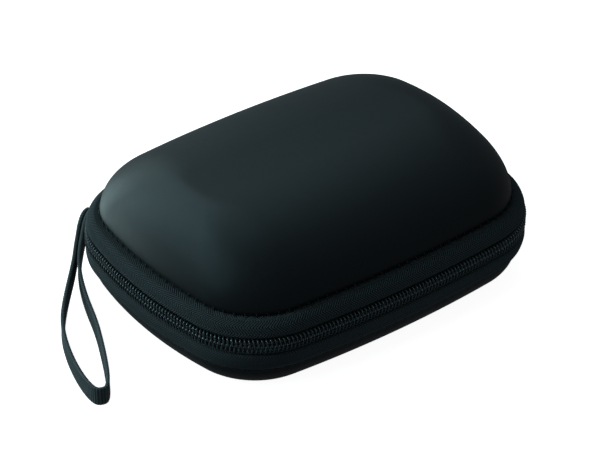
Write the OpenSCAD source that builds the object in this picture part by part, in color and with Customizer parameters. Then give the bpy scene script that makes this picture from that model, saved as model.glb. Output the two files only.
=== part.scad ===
// Zipped carrying case for earphones and their cable.
// A shallow moulded tray and a high moulded lid meet at a coil zip that runs round the front and
// both ends. A flexible panel across the back is the hinge. A wrist strap is sewn to the back left
// corner. X runs along the case, -Y is the front, +Z is up, and the tray stands on Z = 0.

/* [Outline at the zip] */
// Length of the case, end to end
case_length = 120; // [114:1:126]
// Width of the case, front to back
case_width = 91.8; // [89:0.1:95]
// Radius of the four corners
corner_radius = 24.5; // [23:0.1:26]
// How far the front and the back bow outward
long_bow = 1.7; // [1.4:0.05:2]
// How far the two ends bow outward
short_bow = 1.85; // [1.5:0.05:2]

/* [Heights] */
// Height of the plane where the lid and the tray meet
parting_z = 17; // [16.8:0.1:17.2]
// Height of the tray's moulded shell, from the table to its seam
base_height = 8; // [7.8:0.1:8.2]
// Height of the lid's seam above the table
lid_seam_z = 24.6; // [24.4:0.1:24.8]
// Rise of the lid's wall above its seam
lid_wall_rise = 19.7; // [19:0.1:21]
// Extra rise of the lid's slightly crowned top
crown_rise = 0.6; // [0.4:0.1:1]

/* [Shell shape] */
// How far the lid's seam stands inside the zip's outline
lid_seam_inset = 4.2; // [4:0.1:4.4]
// How far the lid's wall leans in along the length
lid_lean_x = 17; // [16:0.1:18]
// How far the lid's wall leans in across the width
lid_lean_y = 33; // [31:0.1:33]
// Corner radius where the lid's wall meets its top
lid_top_radius = 5; // [4:0.5:5]
// How far the tray's seam stands inside the zip's outline
base_seam_inset = 1.8; // [1.6:0.1:2]
// Width of the rounded edge under the tray
base_edge_width = 9.2; // [8.8:0.1:9.6]

/* [Layers] */
// Thickness of the leather-look cover
cover_t = 1; // [0.9:0.05:1.1]
// Thickness of the moulded foam
foam_t = 3.2; // [3:0.1:3.4]
// Thickness of the foam where it is pressed flat for the seam
foam_rim_t = 0.8; // [0.7:0.05:0.9]
// Thickness of the lining cloth
lining_t = 0.5; // [0.4:0.05:0.6]
// Thickness of the zip tape where it is sewn in
tape_t = 0.6; // [0.5:0.05:0.65]

/* [Zip] */
// Height of the closed coil, both halves together
coil_height = 4.6; // [4.4:0.1:4.7]
// Thickness of the coil, front to back
coil_depth = 1.7; // [1.5:0.05:1.75]
// Corner angle where the coil ends, from the end of the case round to the back
coil_end_angle = 46; // [44:1:47]
// Corner angle where the slider parks
slider_park_angle = 62; // [61:1:64]
// Length of the slider
slider_length = 8.4; // [7.5:0.1:8.6]
// Length of the pull tab from its pivot
pull_length = 20; // [14:1:22]

/* [Hinge and strap] */
// Half the width of the hinge panel
hinge_half_width = 30; // [26:0.5:31]
// Width of the strap's webbing
webbing_width = 5.6; // [5:0.1:5.6]
// Thickness of the strap's webbing
webbing_t = 1.1; // [0.9:0.1:1.2]
// Corner angle of the strap's anchor, from the end of the case round to the back
strap_angle = 69; // [66:1:72]

/* [Hidden] */

half_l = case_length / 2;
half_w = case_width / 2;
gap = 0.06;                 // clearance between layers that lie against each other
short_steps = 3;            // facets on half of an end
corner_steps = 7;           // facets on a corner
long_steps = 4;             // facets on half of the front or back
zip_face = -1.6;            // the zip tape's face behind the coil, measured from the outline
zip_back = -2.2;            // the zip tape's back there
tape_edge = 1;              // distance of each tape's edge from the parting plane
coil_top = coil_height / 2; // distance of the coil's outer edge from the parting plane
puff = 0.5;                 // how far the soft tape bulges past the outline
cover_taus = [0, 5, 10, 20, 30, 40, 50, 60, 70, 80, 90];
layer_taus = [0, 10, 20, 35, 50, 65, 80, 90];
base_taus = [0, 18, 36, 54, 72, 90];
crown_steps = [0.62, 0.25];

black = "#17191c";
soft_black = "#22262a";
thread = "#2e3338";
metal = "#3a3c40";

// ---------- outline ----------

// Centres and radii of the arcs of a four-fold outline with half sizes a and b and corner radius r:
// [end radius, end centre x, corner x, corner y, side radius, side centre y, angle 1, angle 2]
function arcs(a, b, r) =
    let (
        end_bow = short_bow * b / half_w,
        side_bow = long_bow * a / half_l,
        rs = ((b - r) ^ 2 + end_bow ^ 2) / (2 * end_bow),
        rl = ((a - r) ^ 2 + side_bow ^ 2) / (2 * side_bow),
        e = [a - rs, rl - b],
        d = norm(e),
        along = ((rl - r) ^ 2 - (rs - r) ^ 2 + d ^ 2) / (2 * d),
        off = sqrt((rl - r) ^ 2 - along ^ 2),
        cx = (along * e[0] + off * e[1]) / d,
        cy = b - rl + (along * e[1] - off * e[0]) / d
    )
    [rs, a - rs, cx, cy, rl, b - rl, atan2(cy, cx - a + rs), atan2(cy - b + rl, cx)];

zip_arcs = arcs(half_l, half_w, corner_radius);
corner_x = zip_arcs[2];
corner_y = zip_arcs[3];

function polar(x, y, r, t) = [x + r * cos(t), y + r * sin(t)];

// The first quarter of an outline moved outward by o, from the end's middle towards the back
function end_arc(k, o) =
    [for (i = [0 : short_steps - 1]) polar(k[1], 0, k[0] + o, k[6] * i / short_steps)];
function corner_arc(k, r, o, to) =
    [for (i = [0 : corner_steps - 1])
        polar(k[2], k[3], r + o, k[6] + (to - k[6]) * i / corner_steps)];
function side_arc(k, o, to) =
    [for (i = [0 : long_steps - 1])
        polar(0, k[5], k[4] + o, k[7] + (to - k[7]) * i / long_steps)];
function quarter(k, r, o) =
    concat(end_arc(k, o), corner_arc(k, r, o, k[7]), side_arc(k, o, 90));

function flipped(points, sx, sy) =
    let (n = len(points)) [for (i = [n - 1 : -1 : 1]) [sx * points[i][0], sy * points[i][1]]];
function turned(points) = [for (p = points) -p];

// A whole outline, and the part of it that the zip follows, from the back left round the front
function outline(a, b, r, o = 0) =
    let (k = arcs(a, b, r), q = quarter(k, r, o), top = [0, k[5] + k[4] + o])
    concat(q, [top], flipped(q, -1, 1), turned(q), [-top], flipped(q, 1, -1));
function zip_run(o, back_part) =
    let (
        k = zip_arcs,
        q = quarter(k, corner_radius, o),
        most = concat(end_arc(k, o), back_part),
        bottom = [0, -(k[5] + k[4] + o)]
    )
    concat(flipped(most, -1, 1), turned(q), [bottom], flipped(q, 1, -1), most);
function to_coil_end(o) =
    concat(corner_arc(zip_arcs, corner_radius, o, coil_end_angle),
        [polar(corner_x, corner_y, corner_radius + o, coil_end_angle)]);
function to_panel(o) =
    let (last = acos((hinge_half_width + 0.5) / zip_arcs[4]))
    concat(corner_arc(zip_arcs, corner_radius, o, zip_arcs[7]), side_arc(zip_arcs, o, last),
        [polar(0, zip_arcs[5], zip_arcs[4] + o, last)]);
function panel_run(o) =
    let (last = acos(hinge_half_width / zip_arcs[4]))
    [for (i = [0 : 8]) polar(0, zip_arcs[5], zip_arcs[4] + o, last + (90 - last) * i / 4)];

function lifted(points, z) = [for (p = points) [p[0], p[1], z]];

// ---------- profiles of the two shells ----------

// How far the foam's inner face lies under the cover's outer face, tau degrees up the wall
function foam_in(tau) =
    cover_t + gap + foam_rim_t + (foam_t - foam_rim_t) * sin(min(90, tau * 3));
function lining_out(tau) = foam_in(tau) + tape_t + 0.2;
function lining_in(tau) = lining_out(tau) + lining_t;

// The lid's wall is a quarter ellipse: its lean, its rise and its slope, tau degrees up it
lid_lean = (lid_lean_x + lid_lean_y) / 2;
function lean(tau) = 1 - cos(tau);
function rise(tau) = lid_wall_rise * sin(tau);
function wall_slope(tau) = atan2(lid_wall_rise * cos(tau), lid_lean * sin(tau));

// One level of the lid, depth under the cover's outer face
function lid_ring(tau, depth) =
    let (
        k = lean(tau),
        slope = wall_slope(tau),
        start = corner_radius - lid_seam_inset
    )
    lifted(
        outline(
            half_l - lid_seam_inset - lid_lean_x * k, half_w - lid_seam_inset - lid_lean_y * k,
            start + (lid_top_radius - start) * pow(k, 1.5), -depth * sin(slope)),
        lid_seam_z + rise(tau) - depth * cos(slope));
function lid_crown(s, depth) =
    let (edge = lid_ring(90, depth))
    [for (p = edge) [p[0] * s, p[1] * s, p[2] + crown_rise * pow(1 - s * s, 2)]];

// One point of the lid's profile at the seam, for the tape and the binding that lie inside it
function lid_at(tau, depth) =
    [-lid_seam_inset - lid_lean * lean(tau) - depth * sin(wall_slope(tau)),
        lid_seam_z + rise(tau) - depth * cos(wall_slope(tau))];

// The tray's wall is a quarter ellipse, tau degrees down from its seam
function base_normal(tau) =
    let (n = [cos(tau) / base_edge_width, sin(tau) / base_height]) n / norm(n);
function base_at(tau, depth) =
    [-base_seam_inset - base_edge_width * (1 - cos(tau)) - depth * base_normal(tau)[0],
        base_height * (1 - sin(tau)) + depth * base_normal(tau)[1]];
function base_ring(tau, depth) =
    let (p = base_at(tau, depth)) lifted(outline(half_l, half_w, corner_radius, p[0]), p[1]);

// ---------- solids from rings ----------

// A closed solid through a list of rings of points. Its two end rings are flat caps.
module loft(rings) {
    n = len(rings[0]);
    m = len(rings);
    walls = [
        for (j = [0 : m - 2], i = [0 : n - 1])
            let (k = (i + 1) % n, a = j * n, b = a + n)
            each [[a + i, b + i, b + k], [a + i, b + k, a + k]]
    ];
    polyhedron([for (r = rings) each r],
        concat([[for (i = [0 : n - 1]) i]], walls, [[for (i = [n - 1 : -1 : 0]) (m - 1) * n + i]]));
}

// A band along runs of points, one run for each corner of its section.
// closed joins the ends of the runs, otherwise flat caps close them.
module band(runs, closed = false) {
    n = len(runs[0]);
    m = len(runs);
    walls = [
        for (j = [0 : m - 1], i = [0 : closed ? n - 1 : n - 2])
            let (k = (i + 1) % n, a = j * n, b = ((j + 1) % m) * n)
            each [[a + i, b + i, b + k], [a + i, b + k, a + k]]
    ];
    caps = closed ? [] : [[for (j = [m - 1 : -1 : 0]) j * n], [for (j = [0 : m - 1]) j * n + n - 1]];
    polyhedron([for (r = runs) each r], concat(walls, caps));
}

// A row of stitches on an outline with arcs k, corner radius r, moved outward by o, at height z
module stitch_row(k, r, o, z, pitch, length, d) {
    rows = [
        [k[1], 0, k[0] + o, 0, k[6]],
        [k[2], k[3], r + o, k[6], k[7]],
        [0, k[5], k[4] + o, k[7], 90]
    ];
    for (sx = [-1, 1], sy = [-1, 1], c = rows) {
        count = round(c[2] * (c[4] - c[3]) * PI / 180 / pitch);
        for (i = [0 : count - 1]) {
            t = c[3] + (c[4] - c[3]) * (i + 0.5) / count;
            p = polar(c[0], c[1], c[2], t);
            translate([sx * p[0], sy * p[1], z])
                rotate([90, 0, sx * sy * t])
                    cylinder(h = length, d = d, center = true, $fn = 16);
        }
    }
}

// Places a part at a corner angle of the zip's outline on the right (side = 1) or left (-1):
// its +Y points outward, its X runs along the zip, and its origin is on the parting plane.
module at_corner(side, angle, o = 0) {
    mirror([side < 0 ? 1 : 0, 0, 0])
        translate([corner_x, corner_y, parting_z])
            rotate([0, 0, angle - 90])
                translate([0, corner_radius + o, 0])
                    children();
}

// ---------- tray ----------

module base_cover() {
    trim = 0.2;
    color(black) difference() {
        loft(concat(
            [lifted(outline(half_l, half_w, corner_radius, base_at(90, 0)[0]), -trim)],
            [for (i = [len(base_taus) - 2 : -1 : 0]) base_ring(base_taus[i], 0)],
            [for (t = base_taus) base_ring(t, cover_t)]));
        translate([-half_l, -half_w, -2]) cube([case_length, case_width, 2]);
    }
}

module base_layer(outer, inner) {
    loft(concat(
        [for (i = [len(base_taus) - 1 : -1 : 0]) base_ring(base_taus[i], outer[i])],
        [for (i = [0 : len(base_taus) - 1]) base_ring(base_taus[i], inner[i])]));
}

module base_foam() {
    color("#303438") base_layer([for (t = base_taus) cover_t + gap], [for (t = base_taus) foam_in(t)]);
}

module base_lining() {
    color(soft_black)
        base_layer([for (t = base_taus) lining_out(t)], [for (t = base_taus) lining_in(t)]);
}

function whole(p) = lifted(outline(half_l, half_w, corner_radius, p[0]), p[1]);

binding_t = 0.5;

module base_binding() {
    low = base_taus[1];
    section = [
        base_at(0, lining_in(0) + gap), base_at(low, lining_in(low) + gap),
        base_at(low, lining_in(low) + gap + binding_t), base_at(0, lining_in(0) + gap + binding_t)
    ];
    color(soft_black) band([for (p = section) whole(p)], true);
}

stitch_d = 0.45;
stitch_length = 2.2;
stitch_pitch = 3.1;

module base_seam_stitches() {
    height = 0.8;
    color(thread) stitch_row(zip_arcs, corner_radius, -base_seam_inset + stitch_d / 2 + 0.02,
        base_height - height, stitch_pitch, stitch_length, stitch_d);
}

// ---------- zip ----------

function zip_band(section, back) =
    [for (p = section) lifted(
        back == "coil" ? zip_run(p[0], to_coil_end(p[0])) : zip_run(p[0], to_panel(p[0])), p[1])];

// The tapes' margins lie between the foam and the lining
margin_near = gap + 0.1;
margin_far = margin_near + 0.3;

module lower_zip_tape() {
    low = base_taus[1];
    section = [
        [zip_face, parting_z - tape_edge],
        [zip_face, parting_z - coil_top - 0.6],
        [0.15, parting_z - coil_top - 0.8],
        [puff, parting_z - coil_top - 2],
        [puff - 0.2, parting_z - coil_top - 3.6],
        [-0.6, base_height + 1],
        [-base_seam_inset, base_height + 0.3],
        [-base_seam_inset - 1.2, base_height + 0.15],
        base_at(0, foam_in(0) + margin_near) + [0, 0.1],
        base_at(low, foam_in(low) + margin_near),
        base_at(low, foam_in(low) + margin_far),
        base_at(0, foam_in(0) + margin_far) + [0, 0.1],
        [zip_back, parting_z - coil_top - 1.1],
        [zip_back, parting_z - tape_edge]
    ];
    color(black) band(zip_band(section, "panel"));
}

module upper_zip_tape() {
    high = layer_taus[1] / 2;
    section = [
        [zip_back, parting_z + tape_edge],
        [zip_back, parting_z + coil_top + 0.7],
        [zip_back - 0.4, parting_z + coil_top + 1.7],
        [-lid_seam_inset - 1.8, lid_seam_z - 1.2],
        lid_at(0, foam_in(0) + margin_far),
        lid_at(high, foam_in(high) + margin_far),
        lid_at(high, foam_in(high) + margin_near),
        lid_at(0, foam_in(0) + margin_near),
        [-lid_seam_inset - 1.9, lid_seam_z - 0.14],
        [-lid_seam_inset + 0.6, lid_seam_z - 0.2],
        [-1.5, lid_seam_z - 0.6],
        [-0.1, lid_seam_z - 1.8],
        [puff, parting_z + coil_top + 1.9],
        [0.15, parting_z + coil_top + 0.8],
        [zip_face, parting_z + coil_top + 0.6],
        [zip_face, parting_z + tape_edge]
    ];
    color(black) band(zip_band(section, "panel"));
}

// One half of the closed coil, as the space that its loops fill. side is 1 for the lid's half.
module coil_half(side) {
    face = coil_depth - 1.5;
    heights = side > 0
        ? [0.02, 0.35, coil_top - 0.3, coil_top]
        : [-coil_top, 0.3 - coil_top, -0.35, -0.02];
    section = [
        [-1.5, parting_z + heights[0]], [-1.5, parting_z + heights[3]],
        [face - 0.25, parting_z + heights[3]], [face, parting_z + heights[2]],
        [face, parting_z + heights[1]], [face - 0.25, parting_z + heights[0]]
    ];
    band(zip_band(section, "coil"));
}

module lower_zip_coil() { color("#1c1f22") coil_half(-1); }
module upper_zip_coil() { color("#1c1f22") coil_half(1); }

stop_length = 1.5;

// On the left the stop sits at the coil's end. On the right it stands beyond the parked slider.
module end_stop(side, up) {
    start = side < 0 ? coil_end_angle : slider_park_angle;
    along = (side < 0 ? 0 : slider_length / 2 + 0.4) + stop_length / 2 + 0.1;
    at_corner(side, start + along / corner_radius * 180 / PI, -0.65)
        translate([0, 0, up * (coil_top / 2 + 0.2)])
            difference() {
                cube([stop_length, coil_depth - 0.1, coil_top - 0.4], center = true);
                translate([0, coil_depth / 2, 0])
                    rotate([0, 90, 0]) cylinder(h = stop_length + 1, r = 0.35, center = true, $fn = 24);
            }
}

module lower_end_stops() { color(metal) for (side = [-1, 1]) end_stop(side, -1); }
module upper_end_stops() { color(metal) for (side = [-1, 1]) end_stop(side, 1); }

// ---------- slider and pull tab ----------

plate_t = 1;
plate_height = 7;
plate_face = 0.75;                           // the outer plate's inner face, from the outline
back_face = -2.7;                            // the back plate's outer face, from the outline
neck_half = 0.85;                            // half the thickness of the neck between the plates
pivot_out = 2.95;                            // the pull tab's pivot, from the outline
pivot_r = 0.6;
bore_r = 0.66;
crown_r = 1.45;
crown_half = 0.95;

// A plate with rounded ends, its faces square to Y
module slider_plate(from, t) {
    translate([0, from + t / 2, 0]) intersection() {
        cube([slider_length, t, plate_height], center = true);
        rotate([90, 0, 0]) cylinder(h = t + 1, d = slider_length + 1.6, center = true, $fn = 64);
    }
}

module slider_body() {
    flange_t = 0.42;
    flange_reach = 1.35;
    neck_length = 2;
    color(metal) at_corner(1, slider_park_angle) union() {
        slider_plate(plate_face, plate_t);
        slider_plate(back_face - 0.9, 0.9);
        translate([slider_length / -2 + 1, back_face - 0.4, -neck_half])
            cube([neck_length, plate_face - back_face + 0.8, 2 * neck_half]);
        for (up = [-1, 1])
            translate([0, plate_face - flange_reach / 2 + 0.2, up * (coil_top + 0.1 + flange_t / 2)])
                cube([slider_length - 2.4, flange_reach + 0.4, flange_t], center = true);
    }
}

module slider_crown() {
    foot = pivot_out - plate_face - plate_t - 0.03;
    color(metal) at_corner(1, slider_park_angle, pivot_out) difference() {
        union() {
            cylinder(h = 2 * crown_half, r = crown_r, center = true, $fn = 48);
            translate([-crown_r, -foot, -crown_half]) cube([2 * crown_r, foot, 2 * crown_half]);
        }
        cylinder(h = 3 * crown_half, r = bore_r, center = true, $fn = 48);
        translate([-5, -foot - 5, -5]) cube([10, 5, 10]);
    }
}

module pull_tab() {
    arm_t = 0.8;
    arm_z = crown_half + 0.1;
    tab_t = 1.1;
    tab_h = 5.2;
    web = 2.2;
    color(metal) at_corner(1, slider_park_angle, pivot_out) union() {
        cylinder(h = 2 * (arm_z + arm_t), r = pivot_r, center = true, $fn = 48);
        for (up = [-1, 1]) translate([0, 0, up * (arm_z + arm_t / 2)]) {
            cylinder(h = arm_t, r = 0.9, center = true, $fn = 48);
            translate([web / 2 + 0.5, 0, 0]) cube([web + 1, tab_t, arm_t], center = true);
        }
        difference() {
            union() {
                translate([web, -tab_t / 2, -tab_h / 2])
                    cube([pull_length - web - tab_h / 2, tab_t, tab_h]);
                translate([pull_length - tab_h / 2, 0, 0])
                    rotate([90, 0, 0]) cylinder(h = tab_t, d = tab_h, center = true, $fn = 64);
            }
            translate([pull_length - tab_h / 2, 0, 0])
                rotate([90, 0, 0]) cylinder(h = tab_t + 1, r = 1.3, center = true, $fn = 48);
        }
    }
}

// ---------- hinge ----------

module hinge_panel() {
    top = [-lid_seam_inset, lid_seam_z];
    bottom = [-base_seam_inset, base_height];
    section = [
        bottom + [-1.3, 0.4], [-1, base_height + 3.2], [-0.8, parting_z], [-1, parting_z + 3.5],
        [-2.2, lid_seam_z - 1.9], top + [-0.3, -0.9], top + [0.3, -0.2],
        [-1.9, lid_seam_z - 0.7], [-0.4, lid_seam_z - 2.1], [0.3, parting_z + 3.5], [0.4, parting_z],
        [0.2, base_height + 3.2], [-0.5, base_height + 1.2], bottom + [-0.6, 0.15]
    ];
    color(soft_black) band([for (p = section) lifted(panel_run(p[0]), p[1])]);
}

module hinge_lining() {
    low = -base_seam_inset - lining_in(0);
    high = -lid_seam_inset - lining_in(0);
    section = [
        [low, base_height + 0.15], [-3.4, parting_z - 3], [-3.4, parting_z], [-3.95, parting_z + 3.5],
        [high, lid_seam_z - 0.5], [high + 0.6, lid_seam_z - 0.5], [-3.4, parting_z + 3.5],
        [-2.9, parting_z], [-2.9, parting_z - 3], [low + 0.6, base_height + 0.15]
    ];
    color(soft_black) band([for (p = section) lifted(panel_run(p[0]), p[1])]);
}

// ---------- lid ----------

module lid_cover() {
    color(black) loft(concat(
        [lid_crown(crown_steps[1], cover_t), lid_crown(crown_steps[0], cover_t)],
        [for (i = [len(layer_taus) - 1 : -1 : 0]) lid_ring(layer_taus[i], cover_t)],
        [for (t = cover_taus) lid_ring(t, 0)],
        [for (s = crown_steps) lid_crown(s, 0)]));
}

module lid_layer(outer, inner) {
    last = len(layer_taus) - 1;
    loft(concat(
        [lid_crown(crown_steps[1], inner[last]), lid_crown(crown_steps[0], inner[last])],
        [for (i = [last : -1 : 0]) lid_ring(layer_taus[i], inner[i])],
        [for (i = [0 : last]) lid_ring(layer_taus[i], outer[i])],
        [for (s = crown_steps) lid_crown(s, outer[last])]));
}

module lid_foam() {
    color("#303438")
        lid_layer([for (t = layer_taus) cover_t + gap], [for (t = layer_taus) foam_in(t)]);
}

module lid_lining() {
    color(soft_black)
        lid_layer([for (t = layer_taus) lining_out(t)], [for (t = layer_taus) lining_in(t)]);
}

module lid_binding() {
    high = layer_taus[1];
    color(soft_black) band([
        lid_ring(0, lining_in(0) + gap), lid_ring(0, lining_in(0) + gap + binding_t),
        lid_ring(high, lining_in(high) + gap + binding_t), lid_ring(high, lining_in(high) + gap)
    ], true);
}

module lid_seam_stitches() {
    height = 0.8;
    a = half_l - lid_seam_inset;
    b = half_w - lid_seam_inset;
    r = corner_radius - lid_seam_inset;
    color(thread) stitch_row(arcs(a, b, r), r, stitch_d / 2 + 0.02, lid_seam_z + height,
        stitch_pitch, stitch_length, stitch_d);
}

// Pocket inside the lid's top: a flat sheet of net, gathered by an elastic hem along its front
pocket_half_l = 36;
pocket_front = -14;
pocket_back = 18;
pocket_z = 36;
net_t = 0.5;

module mesh_pocket() {
    round_r = 8;
    color("#2a2e33") translate([0, 0, pocket_z]) linear_extrude(net_t) difference() {
        union() {
            translate([-pocket_half_l, pocket_front])
                square([2 * pocket_half_l, pocket_back - pocket_front - round_r]);
            translate([round_r - pocket_half_l, pocket_front])
                square([2 * (pocket_half_l - round_r), pocket_back - pocket_front]);
            for (side = [-1, 1])
                translate([side * (pocket_half_l - round_r), pocket_back - round_r])
                    circle(round_r, $fn = 64);
        }
        translate([-half_l, pocket_front - 10]) square([case_length, 10]);
    }
}

module pocket_elastic() {
    hem_h = 3;
    hem_t = 1.4;
    color(soft_black) translate([-pocket_half_l, pocket_front - hem_t - gap, pocket_z - 1.2]) union() {
        translate([0, 0, hem_t / 2]) cube([2 * pocket_half_l, hem_t, hem_h - hem_t]);
        for (z = [hem_t / 2, hem_h - hem_t / 2])
            translate([0, hem_t / 2, z]) rotate([0, 90, 0])
                cylinder(h = 2 * pocket_half_l, d = hem_t, $fn = 32);
    }
}

// ---------- wrist strap ----------

strap_z = 12.9;                             // middle of the webbing at its anchor
strap_pivot_out = 3.4;                      // where the strap bends at its anchor, from the outline
strap_pivot =
    let (p = polar(corner_x, corner_y, corner_radius + strap_pivot_out, strap_angle)) [-p[0], p[1]];
strap_gap = 0.12;                           // half the space between the strands where they touch
strap_opening = 4.2;                        // how far each strand stands out where it is widest
strap_steps = 16;

module strap_anchor() {
    reach = strap_pivot_out - puff - 0.15;
    color(soft_black) at_corner(-1, strap_angle, strap_pivot_out) translate([0, 0, strap_z - parting_z])
        union() {
            cylinder(h = webbing_width, r = 1.2, center = true, $fn = 32);
            translate([-1.2, -reach, -webbing_width / 2]) cube([2.4, reach, webbing_width]);
        }
}

// The strap's middle line leaves the anchor, follows the corner down to the table and runs forward
strap_curve = [
    strap_pivot + [-1.5, -0.6], strap_pivot + [-13, -7.8],
    [-half_l - 10, 21], [-half_l - 23.4, -16.4]
];
function strap_xy(t) =
    strap_curve[0] * pow(1 - t, 3) + strap_curve[1] * 3 * t * pow(1 - t, 2)
    + strap_curve[2] * 3 * t * t * (1 - t) + strap_curve[3] * pow(t, 3);
function strap_side(t) =
    let (d = strap_xy(min(1, t + 0.01)) - strap_xy(max(0, t - 0.01))) [-d[1], d[0]] / norm(d);
function smooth(t) = let (u = max(0, min(1, t))) u * u * (3 - 2 * u);
function strap_height(t) =
    let (low = webbing_width / 2, arch = 1.2 * sin(min(180, t * 900)))
    low + (strap_z + arch - low) * (1 - smooth(t / 0.62));
// Half the opening between the strands: closed near the anchor, widest before the rounded end
function strap_open(t) =
    let (closing = sqrt(max(0, 1 - pow(max(0, t - 0.75) / 0.25, 2))))
    strap_gap + webbing_t / 2 + strap_opening * smooth((t - 0.3) / 0.45) * closing;

// One face of the loop, out along one strand and back along the other; depth is 0 on its middle
function strand_point(t, side, depth, up) =
    let (p = strap_xy(t) + side * strap_side(t) * (strap_open(t) + depth))
    [p[0], p[1], strap_height(t) + up];
function strap_run(depth, up) =
    let (
        ts = [for (i = [0 : strap_steps - 1]) 1 - pow(1 - i / strap_steps, 1.6)],
        ahead = strap_xy(1) - strap_xy(0.99),
        tip = strap_xy(1) + ahead / norm(ahead) * depth
    )
    concat(
        [for (t = ts) strand_point(t, -1, depth, up)],
        [[tip[0], tip[1], strap_height(1) + up]],
        [for (i = [strap_steps - 1 : -1 : 0]) strand_point(ts[i], 1, depth, up)]);

module wrist_strap() {
    h = webbing_width / 2;
    t = webbing_t / 2;
    color(soft_black) band([strap_run(-t, -h), strap_run(-t, h), strap_run(t, h), strap_run(t, -h)]);
}

module strap_bar_tack() {
    bar_d = 0.4;
    for (side = [-1, 1], i = [0 : 4]) {
        t = 0.07 + 0.022 * i;
        p = strap_xy(t) + side * strap_side(t) * (strap_gap + webbing_t + bar_d / 2 + 0.16);
        color(thread) translate([p[0], p[1], strap_height(t)])
            cylinder(h = webbing_width - 1, d = bar_d, center = true, $fn = 16);
    }
}

base_cover();
base_foam();
base_lining();
base_binding();
base_seam_stitches();
lower_zip_tape();
lower_zip_coil();
lower_end_stops();
hinge_panel();
hinge_lining();
strap_anchor();
lid_cover();
lid_foam();
lid_lining();
lid_binding();
lid_seam_stitches();
upper_zip_tape();
upper_zip_coil();
upper_end_stops();
mesh_pocket();
pocket_elastic();
slider_body();
slider_crown();
pull_tab();
wrist_strap();
strap_bar_tack();
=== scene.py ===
"""Looks of the zipped earphone case: shells, zip, hinge panel, linings, strap, materials and studio.

Lengths are millimetres until a mesh is made, heights are above the table, and a piece's offset is its
distance outward from the outline that the zip follows.
"""
import math

import bpy
import numpy as np
from mathutils import Matrix, Vector


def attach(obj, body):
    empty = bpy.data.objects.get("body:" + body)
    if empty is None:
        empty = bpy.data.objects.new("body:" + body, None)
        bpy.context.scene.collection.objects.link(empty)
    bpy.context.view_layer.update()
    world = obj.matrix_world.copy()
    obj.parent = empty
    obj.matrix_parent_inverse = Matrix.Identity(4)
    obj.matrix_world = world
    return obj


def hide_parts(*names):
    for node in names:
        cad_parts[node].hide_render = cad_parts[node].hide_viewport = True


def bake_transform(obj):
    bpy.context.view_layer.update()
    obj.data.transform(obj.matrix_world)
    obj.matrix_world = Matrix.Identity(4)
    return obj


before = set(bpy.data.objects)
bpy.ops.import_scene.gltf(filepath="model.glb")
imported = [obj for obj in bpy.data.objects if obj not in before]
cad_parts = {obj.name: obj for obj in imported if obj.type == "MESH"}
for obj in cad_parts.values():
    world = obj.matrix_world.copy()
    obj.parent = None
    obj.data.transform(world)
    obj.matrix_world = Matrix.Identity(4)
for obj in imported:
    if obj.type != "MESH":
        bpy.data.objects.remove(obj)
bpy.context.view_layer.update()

MM = 0.001

# Outline at the zip
HALF_L, HALF_W, CORNER_R = 60.0, 45.9, 24.5
LONG_BOW, SHORT_BOW = 1.7, 1.85

# Heights and profiles of the shells
PARTING_Z = 17.0
LID_SEAM_Z, LID_RISE = 24.6, 19.7
LID_INSET, LID_LEAN_X, LID_LEAN_Y, LID_TOP_R = 4.2, 17.0, 33.0, 5.0
BASE_H, BASE_INSET, BASE_EDGE = 8.0, 1.8, 9.2

# Layers
COVER_T, FOAM_T, FOAM_RIM, LINING_T, TAPE_T, GAP = 1.0, 3.2, 0.8, 0.5, 0.6, 0.06

# Zip: the coil ends at one corner angle on both sides. The slider is parked beyond it at another, and
# the tapes close SLIDER_REACH further on. Along the coil a tape's edge is TAPE_EDGE from the parting
# plane. Where the tapes are closed, their edges meet and they lie flat, at the offset FLAT_TAPE.
COIL_PITCH, COIL_R = 1.2, 0.245
COIL_END, SLIDER_PARK, SLIDER_REACH = 46.0, 62.0, 6.6
TAPE_EDGE, FLAT_TAPE = 1.1, -0.35
RIB_PITCH, RIB_BAND, RIB_DEPTH = 0.84, 1.9, 0.2

# Across a tape: the plain margins at its seam and its coil, and the pucker that its stitches make
SEAM_MARGIN, COIL_MARGIN, MARGIN_FADE = 1.2, 1.6, 0.5
PUCKER_AT, PUCKER_WIDTH, PUCKER_DEPTH = 1.9, 1.0, 0.05

# Seams and hinge panel.
STITCH_PITCH = 3.1
HINGE_HALF, PANEL_GAP, HINGE_AXIS_Y = 30.0, 0.1, 46.65

# Frames that each cloth simulation runs
CLOTH_FRAMES = 20

# Strap
WEB_T, WEB_W, WEB_RIB_PITCH = 1.1, 5.6, 0.72

# Pocket inside the lid
POCKET_X, POCKET_FRONT, POCKET_BACK, POCKET_Z, POCKET_R = 36.0, -14.0, 18.0, 36.25, 8.0
NET_CELL = 1.7

# Colours and studio
COOL = (0.64, 0.86, 1.0)
WHITE = (1.0, 1.0, 1.0)
LAMP_COLOR = (0.76, 1.0, 0.99)
FLOOR_HALF, FLOOR_GLOW = 4.0, 0.93
CAMERA_AROUND, CAMERA_UP, CAMERA_ROLL = -38.08, 34.47, 0.445
CAMERA_PLACE, CAMERA_LENS = (-412.04, -522.89, 469.81), 167.14


# ---- outlines

def arcs(a, b, r):
    """Centres, radii and joining angles of an outline with half sizes a, b and corner radius r."""
    end_bow = SHORT_BOW * b / HALF_W
    side_bow = LONG_BOW * a / HALF_L
    rs = ((b - r) ** 2 + end_bow ** 2) / (2 * end_bow)
    rl = ((a - r) ** 2 + side_bow ** 2) / (2 * side_bow)
    ex, ey = a - rs, rl - b
    d = math.hypot(ex, ey)
    along = ((rl - r) ** 2 - (rs - r) ** 2 + d * d) / (2 * d)
    off = math.sqrt((rl - r) ** 2 - along ** 2)
    cx = (along * ex + off * ey) / d
    cy = b - rl + (along * ey - off * ex) / d
    t1 = math.atan2(cy, cx - a + rs)
    t2 = math.atan2(cy - b + rl, cx)
    return rs, a - rs, cx, cy, rl, b - rl, t1, t2


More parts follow.
